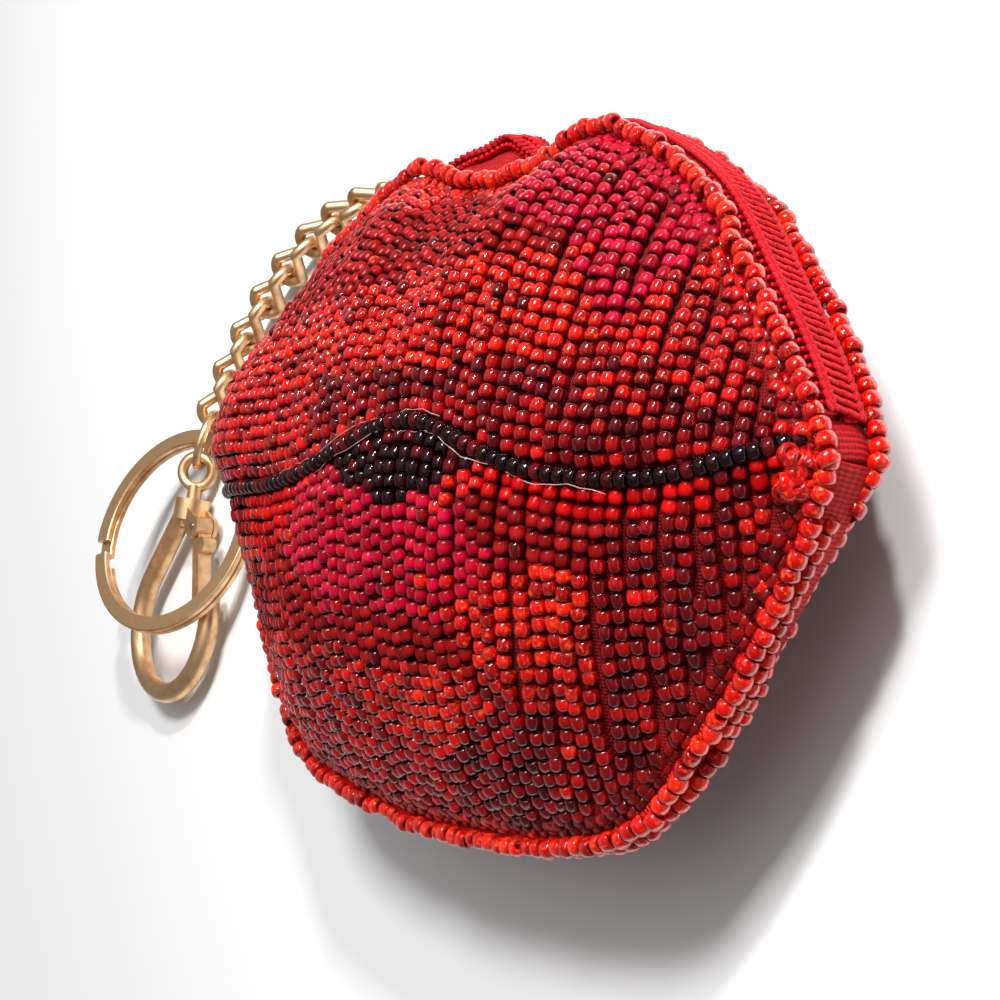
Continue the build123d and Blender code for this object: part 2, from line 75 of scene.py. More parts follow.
# ---- how hand sewing changed that outline ----
peak_spread, side_tuck = 3.0, 1.9
bottom_drop, right_drop, right_fullness = 0.9, 0.5, 0.6
back_lift, dip_lift = 0.9, 3.0


def unit_rows(vectors):
    return vectors / np.linalg.norm(vectors, axis=-1, keepdims=True)


def unit(a, b):
    """The direction from a to b."""
    length = hypot(b[0] - a[0], b[1] - a[1])
    return ((b[0] - a[0]) / length, (b[1] - a[1]) / length)


def along(centre, r, direction):
    return (centre[0] + r * direction[0], centre[1] + r * direction[1])


def inner_tangent_centre(point, r, other, other_r, side_sign):
    """Centre of the circle of radius r through point that has the circle (other, other_r) inside it."""
    gap = hypot(other[0] - point[0], other[1] - point[1])
    a = (r ** 2 - (r - other_r) ** 2 + gap ** 2) / (2 * gap)
    h = sqrt(r ** 2 - a ** 2)
    ux, uy = unit(point, other)
    return (point[0] + a * ux - side_sign * h * uy, point[1] + a * uy + side_sign * h * ux)


corner = (half_width, 0.0)
bow_r = (peak[0] ** 2 + (bow_y - peak[1]) ** 2 - peak_r ** 2) / (2 * (peak_r - bow_y + peak[1]))
bow = (0.0, bow_y + bow_r)
slope = inner_tangent_centre(corner, slope_r, peak, peak_r, 1)
bottom = (0.0, bottom_y + bottom_r)
bend = (bend_x, bottom[1] - sqrt((bottom_r - bend_r) ** 2 - bend_x ** 2))
side = inner_tangent_centre(corner, side_r, bend, bend_r, -1)
# The arcs of the upper and the lower edge: a long one, a short one, and one over the middle.
upper_arcs = (slope, slope_r, peak, peak_r, bow, -bow_r)
lower_arcs = (side, side_r, bend, bend_r, bottom, bottom_r)


def arc_points(centre, r, a, b, step=0.25):
    """Points from a to b on an arc, the short way round."""
    start = atan2(a[1] - centre[1], a[0] - centre[0])
    turn = (atan2(b[1] - centre[1], b[0] - centre[0]) - start + pi) % (2 * pi) - pi
    angles = start + np.linspace(0, turn, max(2, int(abs(turn) * r / step)))
    return np.stack([centre[0] + r * np.cos(angles), centre[1] + r * np.sin(angles)], 1)


def smooth(t):
    t = np.clip(t, 0, 1)
    return t * t * (3 - 2 * t)


def back_raise(x, y):
    """How far the back edge is lifted along the right and upper side, most in the dip between the peaks."""
    upper_right = back_lift * smooth((y + 20) / 20) * smooth((x + 25) / 30)
    return upper_right + dip_lift * np.exp(-((x + 2) / 7.5) ** 2) * smooth(y / 15)


def hand_sewn(points, lift=0.0, left=1.0):
    """The drawn outline as it came out: peaks further apart, a fuller bottom and a lifted back edge (lift 1).

    left is how far the left peak moves: 0 for the zip, which keeps to the slider's arc."""
    x, y = points[:, 0], points[:, 1]
    spread = peak_spread * np.tanh(x / 8) * smooth((y - 16) / 16) * np.where(x < 0, left, 1.0 - 0.4 * lift)
    raised = lift * back_raise(x, y)
    drawn_in = lift * side_tuck * np.exp(-((y + 14) / 9) ** 2) * smooth((x - 10) / 25)
    fuller = smooth((x - 5) / 18)
    return np.stack([x + spread - drawn_in + right_fullness * fuller * smooth((-y - 12) / 10),
                     y + raised - (bottom_drop + right_drop * fuller) * smooth((-y - 22) / 14)], 1)


def edge_line(inset, upper, lift=0.0, left=1.0):
    """The upper or lower edge from the right mouth corner to the left one, as (x, y) points."""
    long, long_r, short, short_r, middle, middle_r = upper_arcs if upper else lower_arcs
    reach = long[0] + sqrt((long_r - inset) ** 2 - long[1] ** 2)
    a = along(short, short_r - inset, unit(long, short))
    b = along(short, short_r - inset, unit(short, middle) if upper else unit(middle, short))
    middle_r = abs(middle_r - inset)
    parts = [arc_points(long, long_r - inset, (reach, 0), a), arc_points(short, short_r - inset, a, b),
             arc_points(middle, middle_r, b, (0, middle[1] - middle_r))]
    right = np.concatenate([parts[0], parts[1][1:], parts[2][1:]])
    return hand_sewn(np.concatenate([right, right[-2::-1] * (-1, 1)]), lift, left)


def even(points, step):
    """The line's points again at even steps along it, with the distance of each."""
    lengths = np.concatenate([[0], np.cumsum(np.linalg.norm(np.diff(points, axis=0), axis=1))])
    at = np.arange(int(lengths[-1] / step) + 1) * step
    return np.stack([np.interp(at, lengths, points[:, k]) for k in range(points.shape[1])], 1), at


ring_tables = {}
for side_name, lift in (("front", 0.0), ("back", 1.0)):
    ring = np.concatenate([edge_line(cloth_inset, True, lift), edge_line(cloth_inset, False, lift)[-2:0:-1]])
    ring_angle = np.arctan2(ring[:, 1], ring[:, 0]) % (2 * pi)
    order = np.argsort(ring_angle)
    ring_tables[side_name] = (ring_angle[order], np.hypot(*ring.T)[order])


def edge_radius(angle, side_name="front"):
    return np.interp(angle % (2 * pi), *ring_tables[side_name], period=2 * pi)


gap_y = (-42, -30, -20, -8, 0, 6, 13, 22, 30, 38)
gap_z = (1.2, 1.3, 1.75, 2.3, 3.5, 4.3, 4.8, 4.9, 4.8, 4.6)


def half_gap(y):
    """From the zip's middle plane to the edge piping: closed along the bottom, wide along the zip."""
    return sum(np.interp(y + d, gap_y, gap_z) for d in (-3, -1, 1, 3)) / 4


def mouth_y(x):
    """The dark line between the lips: a hump right of the middle, and a rise at the right corner."""
    base = -4.7 + 1.3 * smooth((x + 5) / 30) + 1.2 * smooth((-x - 40) / 14)
    hump = 6.5 * np.exp(-((x - 8) / np.where(x < 8, 17.0, 12.5)) ** 2)
    return base + hump + 5.2 * (np.clip(x - 34, 0, None) / 19) ** 1.8


def dome(x, y, side_name):
    """How far the cloth stands above its edge plane, from 0 at the edge."""
    share = np.clip(np.hypot(x, y) / edge_radius(np.arctan2(y, x), side_name), 0, 1)
    rise = crown_z - half_gap(y) + 1.0 * smooth((y - 5) / 30)
    bulge = left_bulge * np.exp(-((x + 41) / 14) ** 2 - ((y - 8) / 17) ** 2) * (1 - share ** 5)
    return rise * (1 - share ** 2) ** puff_power + bulge


def front_z(x, y):
    crease = crease_depth * np.exp(-((y - mouth_y(x)) / crease_width) ** 2) * smooth((52 - np.abs(x)) / 12)
    return mid_z + half_gap(y) + dome(x, y, "front") - crease


def back_z(x, y):
    """The back panel, which is flat where it rests."""
    z = mid_z - half_gap(y) - dome(x, y, "back")
    return 0.5 * (z + np.sqrt(z * z + rest_rounding))


heights = {"front": front_z, "back": back_z}
swell_grid = {}


def swell(side_name, x, y):
    """How far the simulated stuffing pushes the panel out."""
    if side_name not in swell_grid:
        return np.zeros_like(x)
    grid = swell_grid[side_name]
    share = np.clip(np.hypot(x, y) / edge_radius(np.arctan2(y, x), side_name), 0, 1)
    u = np.arcsin(share) / (pi / 2) * (grid.shape[0] - 1)
    v = (np.arctan2(y, x) % (2 * pi)) / (2 * pi) * grid.shape[1]
    i, j = np.minimum(u.astype(int), grid.shape[0] - 2), v.astype(int) % grid.shape[1]
    fu, fv, j2 = u - i, v - np.floor(v), (j + 1) % grid.shape[1]
    return (grid[i, j] * (1 - fu) * (1 - fv) + grid[i + 1, j] * fu * (1 - fv)
            + grid[i, j2] * (1 - fu) * fv + grid[i + 1, j2] * fu * fv)


def surface(side_name, x, y):
    """Points of a panel's outer skin and its outward normals."""
    fn, sign = heights[side_name], 1 if side_name == "front" else -1
    h = 0.08
    gx, gy = (fn(x + h, y) - fn(x - h, y)) / (2 * h), (fn(x, y + h) - fn(x, y - h)) / (2 * h)
    n = unit_rows(np.stack([-gx, -gy, np.ones_like(gx)], 1) * sign)
    return np.stack([x, y, fn(x, y)], 1) + n * swell(side_name, x, y)[:, None], n


# ---- mesh helpers ----
def mesh_object(name, points, faces, materials):
    mesh = bpy.data.meshes.new(name)
    points = np.asarray(points, float) * MM
    if isinstance(faces, np.ndarray):
        mesh.vertices.add(len(points))
        mesh.vertices.foreach_set("co", points.astype(np.float32).ravel())
        mesh.loops.add(faces.size)
        mesh.loops.foreach_set("vertex_index", faces.astype(np.int32).ravel())
        mesh.polygons.add(len(faces))
        mesh.polygons.foreach_set("loop_start", np.arange(0, faces.size, faces.shape[1], dtype=np.int32))
        mesh.update(calc_edges=True)
    else:
        mesh.from_pydata(points.tolist(), [], faces)
    mesh.polygons.foreach_set("use_smooth", np.ones(len(mesh.polygons), bool))
    for m in materials if isinstance(materials, (list, tuple)) else [materials]:
        mesh.materials.append(m)
    obj = bpy.data.objects.new(name, mesh)
    bpy.context.collection.objects.link(obj)
    return obj


def turned_form(profile, segments):
    """A closed form turned about local Z from a closed profile of (radius, height) points."""
    angles = np.arange(segments) * 2 * pi / segments
    r, h = np.array(profile).T
    points = np.stack([np.outer(r, np.cos(angles)), np.outer(r, np.sin(angles)),
                       np.outer(h, np.ones(segments))], 2)
    here = np.arange(len(r) * segments).reshape(-1, segments)
    beside = np.roll(here, -1, 1)
    quads = np.stack([here, beside, np.roll(beside, -1, 0), np.roll(here, -1, 0)], 2)
    return points.reshape(-1, 3), quads.reshape(-1, 4)


bead_profile = [(0.40, -0.56), (0.60, -0.74), (0.86, -0.68), (1.0, -0.40), (1.04, 0.0), (1.0, 0.40),
                (0.86, 0.68), (0.60, 0.74), (0.40, 0.56)]
bar_profile = [(0.04, -1.0), (0.6, -0.93), (0.95, -0.7), (1.0, 0.0), (0.95, 0.7), (0.6, 0.93), (0.04, 1.0)]
bead_form, fine_form = turned_form(bead_profile, 10), turned_form(bead_profile, 14)
bar_form = turned_form(bar_profile, 8)


def place_forms(form, centres, axes, normals, radii, lengths):
    """Points and faces of many copies of a form, each with its own axis, radius and length."""
    axes = unit_rows(axes)
    across = unit_rows(np.cross(axes, normals))
    up = np.cross(across, axes)
    t, quads = form
    radii, lengths = np.broadcast_to(radii, len(centres)), np.broadcast_to(lengths, len(centres))
    sideways = t[None, :, 0:1] * across[:, None] + t[None, :, 1:2] * up[:, None]
    points = (centres[:, None] + radii[:, None, None] * sideways
              + lengths[:, None, None] * t[None, :, 2:3] * axes[:, None])
    faces = quads[None] + (np.arange(len(centres)) * len(t))[:, None, None]
    return points.reshape(-1, 3), faces.reshape(-1, 4)


def point_values(piece, **values):
    """Named numbers, one for each point of a mesh, for its material to read."""
    for name, numbers in values.items():
        layer = piece.data.attributes.new(name, "FLOAT", "POINT")
        layer.data.foreach_set("value", np.asarray(numbers, np.float32))


def string(name, centres, axes, normals, radii, lengths, m, form=bead_form, tilt=0.12):
    """One mesh object of many beads, each tilted a little at random."""
    axes = unit_rows(axes) + rng.normal(0, tilt, (len(centres), 3))
    points, faces = place_forms(form, centres, axes, normals, radii, lengths)
    piece = mesh_object(name, points, faces, m)
    to_end = np.abs(form[0][:, 2]) / np.abs(form[0][:, 2]).max()
    point_values(piece, to_end=np.tile(to_end, len(centres)))
    return piece


def joined(parts):
    """Several (points, faces) pairs as one."""
    points, faces, start = [], [], 0
    for p, f in parts:
        points.append(np.asarray(p))
        faces += [[i + start for i in face] for face in (f.tolist() if isinstance(f, np.ndarray) else f)]
        start += len(p)
    return np.concatenate(points), faces


def swept(stations):
    """A closed form through closed cross-sections: stations[i][k] is point k of section i."""
    points = np.reshape(stations, (-1, 3))
    here = np.arange(len(points)).reshape(len(stations), -1)
    beside = np.roll(here, -1, 1)
    faces = np.stack([here[:-1], beside[:-1], beside[1:], here[1:]], 2).reshape(-1, 4).tolist()
    return points, faces + [here[0, ::-1].tolist(), here[-1].tolist()]


def woven(name, stations, run, across, m):
    """A swept form that carries the distance run along it and each point's place across it for its weave."""
    piece = mesh_object(name, *swept(stations), m)
    point_values(piece, run=np.repeat(run, len(stations[0])), across=np.ravel(across))
    return piece


def tube(points, radius, sides=6):
    """A round tube along points, closed at both ends."""
    ahead = unit_rows(np.gradient(points, axis=0))
    a = unit_rows(np.cross(ahead, (0.31, 0.17, 0.93)))
    b = np.cross(ahead, a)
    angles = (np.arange(sides) * 2 * pi / sides)[None, :, None]
    return swept(points[:, None] + radius * (np.cos(angles) * a[:, None] + np.sin(angles) * b[:, None]))


def attach(piece, slot, *nodes, fold=None):
    """Hides the CAD nodes a piece replaces. A piece with a fold has its placement written into its mesh; any
    other rides on the purse. slot is not used.
    """
    if nodes:
        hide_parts(*nodes)
    if fold:
        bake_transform(piece)
    else:
        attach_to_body(piece, "purse")


# ---- materials ----
def srgb(r, g, b):
    """Display colour, 0 to 1, as the linear colour that shaders take."""
    return tuple(c / 12.92 if c <= 0.04045 else ((c + 0.055) / 1.055) ** 2.4 for c in (r, g, b)) + (1.0,)


class Nodes:
    """A new node material, with short ways to add nodes."""

    def __init__(self, name, **settings):
        self.m = bpy.data.materials.new(name)
        self.m.use_nodes = True
        self.tree = self.m.node_tree
        self.shader = self.tree.nodes["Principled BSDF"]
        for key, value in settings.items():
            self.shader.inputs[key.replace("_", " ")].default_value = value

    def add(self, kind, inputs=(), **settings):
        node = self.tree.nodes.new(kind)
        for key, value in settings.items():
            setattr(node, key, value)
        for key, value in dict(inputs).items():
            if isinstance(value, bpy.types.NodeSocket):
                self.tree.links.new(value, node.inputs[key])
            else:
                node.inputs[key].default_value = value
        return node

    def ramp(self, factor, stops):
        node = self.add("ShaderNodeValToRGB", {0: factor})
        while len(node.color_ramp.elements) < len(stops):
            node.color_ramp.elements.new(0.5)
        for element, (place, colour) in zip(node.color_ramp.elements, stops):
            element.position, element.color = place, colour
        return node.outputs["Color"]

    def mix(self, factor, a, b):
        return self.add("ShaderNodeMix", {0: factor, 6: a, 7: b}, data_type="RGBA").outputs[2]

    def math(self, operation, a, b=0.0, c=0.0):
        return self.add("ShaderNodeMath", {0: a, 1: b, 2: c}, operation=operation).outputs[0]

    def place(self, scale=1000.0, turn=(0, 0, 0)):
        """Coordinates in millimetres in the row frame."""
        where = self.add("ShaderNodeTexCoord").outputs["Object"]
        return self.add("ShaderNodeMapping", {"Vector": where, "Scale": (scale,) * 3,
                                              "Rotation": turn}).outputs[0]

    def noise(self, vector, scale, detail=3.0):
        return self.add("ShaderNodeTexNoise", {"Vector": vector, "Scale": scale, "Detail": detail,
                                               "Roughness": 0.55}).outputs["Fac"]

    def spread(self, value, low=0.0, high=1.0, to_low=0.0, to_high=1.0):
        """The value stretched from one range to another, and kept inside it."""
        ends = {"From Min": low, "From Max": high, "To Min": to_low, "To Max": to_high}
        return self.add("ShaderNodeMapRange", {"Value": value, **ends}).outputs[0]

    def bump(self, height, strength, distance=0.0003):
        node = self.add("ShaderNodeBump", {"Height": height, "Strength": strength, "Distance": distance})
        self.tree.links.new(node.outputs[0], self.shader.inputs["Normal"])

    def link(self, source, target):
        self.tree.links.new(source, self.shader.inputs[target])


def glass(name, dark, middle, light, middle_at=0.5, see_through=0.0, rough=(0.06, 0.16), specular=0.22,
          painted_glint=0.0, painted_end_shade=0.72):
    """Seed-bead glass. Each bead has its own colour between dark and light, faint streaks, painted orange
    glints where light would shine through, uneven walls, and painted shade at the ends, where the hole and
    the thread show."""
    n = Nodes(f"glass_{name}", Transmission_Weight=see_through, IOR=1.36, Specular_IOR_Level=specular)
    darkest = srgb(*dark)
    own = n.add("ShaderNodeNewGeometry").outputs["Random Per Island"]
    where = n.place()
    streak = n.noise(where, 0.9, 2.0)
    colour = n.ramp(own, [(0.0, darkest), (middle_at, srgb(*middle)), (1.0, srgb(*light))])
    shaded = n.mix(n.math("MULTIPLY", streak, 0.45), colour, darkest)
    if painted_glint:
        # painted glint: orange spots mixed into the colour where light would shine through the glass
        spark = n.spread(n.noise(where, 1.9, 1.0), 0.57, 0.70)
        shaded = n.mix(n.math("MULTIPLY", spark, painted_glint), shaded, srgb(1.0, 0.34, 0.10))
    to_end = n.add("ShaderNodeAttribute", attribute_name="to_end").outputs["Fac"]
    # painted shade: the bead ends go nearly black where the hole and the thread show
    hole_shadow = tuple(0.10 * c for c in darkest[:3]) + (1.0,)
    n.link(n.mix(n.spread(to_end, 0.25, 1.0, 0.0, painted_end_shade), shaded, hole_shadow), "Base Color")
    n.link(n.spread(n.noise(where, 1.7), 0.3, 0.7, *rough), "Roughness")
    n.bump(n.noise(where, 2.2, 1.0), 0.12, 0.0002)
    return n.m


def cloth(name, dark, light, thread, turn=0.0, rough=0.85, strength=0.5):
    """Plain weave with threads of the given width in millimetres, and soft larger blotches."""
    dark, light = srgb(*dark), srgb(*light)
    n = Nodes(name, Sheen_Weight=0.1, Sheen_Roughness=0.4, Sheen_Tint=light, Specular_IOR_Level=0.2)
    where = n.place(turn=(0, 0, turn))
    waves = [n.add("ShaderNodeTexWave", {"Vector": where, "Scale": pi / (10 * thread), "Distortion": 0.6,
                                         "Detail": 1.0}, bands_direction=d).outputs["Fac"] for d in "XYZ"]
    weave = n.math("MULTIPLY", n.math("MAXIMUM", waves[0], waves[1]), n.math("ADD", waves[2], 0.6))
    blotch = n.noise(where, 0.12)
    n.link(n.ramp(n.math("MULTIPLY_ADD", weave, 0.5, n.math("MULTIPLY", blotch, 0.7)),
                  [(0.2, dark), (0.85, light)]), "Base Color")
    n.link(n.spread(weave, to_low=rough, to_high=rough - 0.2), "Roughness")
    n.bump(weave, strength, 0.0002)
    return n.m


def ribbed(name, dark, light, rib, thread=0.32, rough=0.75):
    """Woven tape whose ribs cross it.

    The run and across attributes are the distances along and across the tape in millimetres."""
    dark, light = srgb(*dark), srgb(*light)
    n = Nodes(name, Sheen_Weight=0.15, Sheen_Roughness=0.35, Sheen_Tint=light, Specular_IOR_Level=0.2)
    run = n.add("ShaderNodeAttribute", attribute_name="run").outputs["Fac"]
    across = n.add("ShaderNodeAttribute", attribute_name="across").outputs["Fac"]
    where = n.place()
    wobble = n.math("MULTIPLY_ADD", n.noise(where, 0.8), 0.25, run)
    rib_wave, thread_wave = (
        n.math("MULTIPLY_ADD", n.math("SINE", n.math("MULTIPLY", distance, 2 * pi / width)), 0.5, 0.5)
        for distance, width in ((wobble, rib), (across, thread)))
    both = n.math("MULTIPLY_ADD", rib_wave, 0.7, n.math("MULTIPLY", thread_wave, 0.3))
    n.link(n.ramp(n.math("MULTIPLY_ADD", both, 0.6, n.math("MULTIPLY", n.noise(where, 0.35), 0.5)),
                  [(0.15, dark), (0.85, light)]), "Base Color")
    n.link(n.spread(both, to_low=rough, to_high=rough - 0.25), "Roughness")
    n.bump(both, 0.7)
    return n.m


def gold(name, bright, dull, rough=(0.24, 0.46), scale=0.35):
    """Antique plated metal: dull patches, fine brushing and small pits."""
    bright, dull = srgb(*bright), srgb(*dull)
    n = Nodes(name, Metallic=1.0)
    where = n.place()
    patch = n.noise(where, scale, 4.0)
    fine = n.noise(where, 6.0, 2.0)
    n.link(n.ramp(n.math("MULTIPLY_ADD", fine, 0.18, n.math("MULTIPLY", patch, 0.85)),
                  [(0.32, dull), (0.66, bright)]), "Base Color")
    n.link(n.spread(patch, 0.3, 0.7, rough[1], rough[0]), "Roughness")
    n.bump(fine, 0.1, 0.0001)
    return n.m


def clear_nylon(name):
    """Nearly colourless thread, with the red of the glass round it painted in as a faint pink reflection."""
    n = Nodes(name, Transmission_Weight=0.6, IOR=1.45, Coat_Weight=0.5)
    where = n.place()
    # painted reflection: pink from the red glass round the thread
    stops = [(0.3, srgb(0.90, 0.62, 0.60)), (0.7, srgb(1.0, 0.92, 0.90))]
    n.link(n.ramp(n.noise(where, 0.9), stops), "Base Color")
    n.link(n.spread(n.noise(where, 3.0), to_low=0.1, to_high=0.3), "Roughness")
    return n.m


edge_glass = glass("edge", (0.60, 0, 0.01), (0.82, 0.03, 0.02), (0.97, 0.15, 0.03), 0.45, 0.14,
                   specular=0.5, painted_glint=0.7, painted_end_shade=0.38)
glasses = {
    "orange": glass("orange", (0.54, 0, 0.01), (0.74, 0.02, 0.02), (0.90, 0.10, 0.03), 0.45, 0.14,
                    specular=0.5, painted_glint=0.6, painted_end_shade=0.6),
    "red": glass("red", (0.44, 0, 0.01), (0.74, 0.01, 0.02), (0.90, 0.05, 0.04), 0.5, 0.14,
                 specular=0.5, painted_glint=0.25),
    "garnet": glass("garnet", (0.30, 0, 0.01), (0.50, 0, 0.02), (0.70, 0.02, 0.02), 0.5, 0.12,
                    specular=0.45),
    "brick": glass("brick", (0.42, 0.03, 0.04), (0.56, 0.05, 0.06), (0.66, 0.09, 0.09),
                   rough=(0.16, 0.28)),
    "ruby": glass("ruby", (0.56, 0.01, 0.02), (0.72, 0.03, 0.04), (0.82, 0.06, 0.05),
                  rough=(0.14, 0.24)),
    "magenta": glass("magenta", (0.54, 0, 0.09), (0.70, 0.01, 0.14), (0.80, 0.05, 0.21), 0.5, 0.1,
                     rough=(0.16, 0.28)),
    "black": glass("black", (0.06, 0, 0.01), (0.15, 0.01, 0.02), (0.42, 0.01, 0.03), 0.6,
                   rough=(0.05, 0.11), specular=0.5),
}
# the ground cloth's own dark red, set darker still as painted shade in the gaps between bead columns
ground_cloth_and_gap_shade = cloth("ground_cloth_and_gap_shade", (0.22, 0.0, 0.01), (0.46, 0.01, 0.02), 0.34)
lining_cloth = cloth("lining_cloth", (0.42, 0.03, 0.06), (0.62, 0.07, 0.10), 0.22, turn=0.3, rough=0.6)
tape_cloth = ribbed("zip_tape_weave", (0.38, 0.0, 0.02), (0.72, 0.03, 0.08), 0.62)
tab_cloth = ribbed("tab_weave", (0.46, 0.02, 0.04), (0.74, 0.07, 0.09), 0.5)
coil_nylon = cloth("coil_nylon", (0.50, 0.0, 0.03), (0.76, 0.04, 0.09), 0.5, rough=0.5, strength=0.1)
thread_red = cloth("thread_red", (0.52, 0.01, 0.03), (0.80, 0.08, 0.13), 0.12, rough=0.6, strength=0.6)
antique = gold("antique_gold", (0.97, 0.81, 0.62), (0.74, 0.56, 0.40), rough=(0.30, 0.5))
zip_gold = gold("zip_gold", (0.86, 0.70, 0.44), (0.62, 0.46, 0.26), rough=(0.18, 0.34))
spring_metal = gold("spring_steel", (0.80, 0.78, 0.74), (0.52, 0.49, 0.45), rough=(0.2, 0.35), scale=0.8)
nylon_thread = clear_nylon("nylon_thread")

# ---- padded panels: ground cloth over wadding, with the lining as the inner face ----
# Where the front bends when the mouth opens, between two places in metres. The back never bends.
mouth_fold = ((0, -0.008, 0.031), (0, 0.008, 0.031))
folds = {"front": mouth_fold, "back": None}
bead_cover, panel_depth = 1.65, 2.5
rings, spokes = 30, 168
stuffing_pressure, swell_cap = 60.0, 1.4
pillow_voxel, seam_share, sim_frames, cast_start, cast_reach = 4.0, 0.93, 20, 9, 22


def panel_points(side_name, offset, pushed=True):
    """Grid of a panel's skin in rings from the middle to the edge, set in by offset, and its normals."""
    a = np.linspace(0.02, pi / 2, rings)
    t = np.arange(spokes) * 2 * pi / spokes
    share, angle = np.meshgrid(np.sin(a), t, indexing="ij")
    radius = share * edge_radius(angle, side_name)
    x, y = radius * np.cos(angle), radius * np.sin(angle)
    z = heights[side_name](x.ravel(), y.ravel()).reshape(x.shape)
    p = np.stack([x, y, z], 2)
    facing = 1 if side_name == "front" else -1
    normal = unit_rows(facing * np.cross(np.gradient(p, axis=0), np.roll(p, -1, 1) - np.roll(p, 1, 1)))
    out = -offset * (1 - 0.85 * smooth((share - seam_share) / 0.06))
    if pushed:
        out = out + swell(side_name, x.ravel(), y.ravel()).reshape(x.shape)
    return p + normal * out[:, :, None], normal


def closed_shell(outer, inner):
    """A shell between two grids, closed round the edge and over the middle: points, outer and inner faces."""
    shift = rings * spokes
    here = np.arange(shift).reshape(rings, spokes)
    beside = np.roll(here, -1, 1)
    outer_faces = np.stack([here[:-1], here[1:], beside[1:], beside[:-1]], 2).reshape(-1, 4).tolist()
    outer_faces.append(here[0].tolist())
    inner_faces = [[v + shift for v in face[::-1]] for face in outer_faces]
    outer_faces += np.stack([here[-1], here[-1] + shift, beside[-1] + shift, beside[-1]], 1).tolist()
    return np.concatenate([outer.reshape(-1, 3), inner.reshape(-1, 3)]), outer_faces, inner_faces


def simulate_stuffing():
    """Swells a closed pillow of both panels with Blender's cloth, and keeps how far each skin moved."""
    front, _ = panel_points("front", bead_cover, False)
    back, _ = panel_points("back", bead_cover, False)
    pillow_points, outer_faces, inner_faces = closed_shell(front, back)
    pillow = mesh_object("stuffing", pillow_points, outer_faces + inner_faces, ground_cloth_and_gap_shade)
    remesh = pillow.modifiers.new("remesh", "REMESH")
    remesh.mode, remesh.voxel_size = "VOXEL", pillow_voxel * MM
    bpy.context.view_layer.update()

    def evaluated():
        return pillow.evaluated_get(bpy.context.evaluated_depsgraph_get())

    pillow_mesh = bpy.data.meshes.new_from_object(evaluated())
    pillow.modifiers.clear()
    pillow.data = pillow_mesh
    start = np.array([v.co for v in pillow_mesh.vertices])
    share = np.hypot(start[:, 0], start[:, 1]) / MM / edge_radius(np.arctan2(start[:, 1], start[:, 0]))
    seam = pillow.vertex_groups.new(name="seam")
    seam.add(np.flatnonzero(share > seam_share).tolist(), 1.0, "REPLACE")
    sim = pillow.modifiers.new("cloth", "CLOTH")
    sim.settings.use_pressure, sim.settings.uniform_pressure_force = True, stuffing_pressure
    sim.settings.vertex_group_mass = "seam"
    sim.settings.mass = 0.02
    sim.settings.tension_stiffness = sim.settings.compression_stiffness = 8
    sim.settings.shear_stiffness, sim.settings.bending_stiffness = 4, 0.3
    sim.settings.effector_weights.gravity = 0
    sim.settings.quality = 6
    sim.point_cache.frame_start, sim.point_cache.frame_end = 1, sim_frames
    scene = bpy.context.scene
    for f in range(1, sim_frames + 1):
        scene.frame_set(f)
    swollen = evaluated().data
    moved = np.array([v.co for v in swollen.vertices])
    faces_now = [tuple(p.vertices) for p in swollen.polygons]
    scene.frame_set(1)
    before, after = (BVHTree.FromPolygons([Vector(p) for p in points / MM], faces_now)
                     for points in (start, moved))
    for side_name in ("front", "back"):
        p, normal = panel_points(side_name, bead_cover, False)
        found = np.zeros(p.shape[:2])
        for i in range(rings):
            for j in range(spokes):
                origin, way = Vector(p[i, j] + normal[i, j] * cast_start), Vector(-normal[i, j])
                hits = [t.ray_cast(origin, way, cast_reach)[3] for t in (before, after)]
                if None not in hits:
                    found[i, j] = hits[0] - hits[1]
        found -= np.median(found[:rings * 2 // 3])
        found = np.clip(found, -swell_cap, swell_cap) * np.cos(np.linspace(0, pi / 2, rings))[:, None] ** 0.3
        for _ in range(4):
            found = (found + np.roll(found, 1, 1) + np.roll(found, -1, 1)) / 3
            found[1:-1] = (found[:-2] + found[1:-1] + found[2:]) / 3
        if side_name == "back":
            found *= 0.4
        swell_grid[side_name] = found
    bpy.data.objects.remove(pillow)


simulate_stuffing()

soft_nodes = {"front": ("upper_lip_padding", "lower_lip_padding", "upper_lip_lining", "lower_lip_lining"),
              "back": ("back_padding", "back_lining")}
for side_name, nodes in soft_nodes.items():
    outer, _ = panel_points(side_name, bead_cover)
    inner, _ = panel_points(side_name, bead_cover + panel_depth)
    outer[:, :, 2] += 0.12 * np.sin(outer[:, :, 0] * 2.4) * np.sin(outer[:, :, 1] * 2.2)
    shell_points, outer_faces, inner_faces = closed_shell(outer, inner)
    if side_name == "back":
        outer_faces, inner_faces = [f[::-1] for f in outer_faces], [f[::-1] for f in inner_faces]
    panel = mesh_object(f"{side_name}_padded_panel", shell_points, outer_faces + inner_faces,
                        [ground_cloth_and_gap_shade, lining_cloth])
    panel.data.polygons.foreach_set("material_index", [0] * len(outer_faces) + [1] * len(inner_faces))
    attach(panel, "padding", *nodes, fold=folds[side_name])

